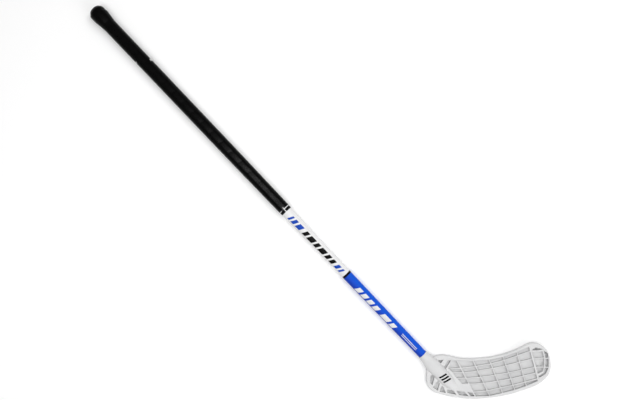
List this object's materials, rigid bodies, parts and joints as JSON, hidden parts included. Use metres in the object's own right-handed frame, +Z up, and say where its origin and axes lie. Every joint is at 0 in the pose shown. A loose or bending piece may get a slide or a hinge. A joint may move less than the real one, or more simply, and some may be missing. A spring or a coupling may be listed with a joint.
{
  "type": "floorball stick",
  "caption": "Floorball stick with a tapered hollow shaft, a wound grip over a flared knob, printed films and a hooked ribbed plastic blade screwed on at its neck.",
  "frame": {"origin": "middle of the stick's footprint, on the surface it lies on", "axes": "+X along the shaft from the butt end to the blade, +Y to the side that the blade turns to, +Z up out of the hollow side of the blade"},
  "size_m": [1.1415, 0.2198, 0.0338],
  "materials": {
    "cap_plastic": "black moulded plastic, satin",
    "grip_band": "black foamed grip band, soft sheen",
    "shaft_composite": "dark fibre composite, satin",
    "black_tape": "black vinyl tape, low gloss",
    "white_film": "white printed film, glossy",
    "black_film": "black printed film, glossy",
    "blue_film": "blue printed film, glossy",
    "blade_plastic": "milky white moulded plastic, satin",
    "screw_steel": "zinc plated steel"
  },
  "bodies": {
    "root": {"end_cap": "cap_plastic", "grip_wrap": "grip_band", "shaft_tube": "shaft_composite", "finishing_tape": "black_tape", "white_graphic_film": "white_film", "black_stripe_band": "black_film", "blue_graphic_film": "blue_film", "blade": "blade_plastic", "blade_screw": "screw_steel"}
  },
  "joints": []
}
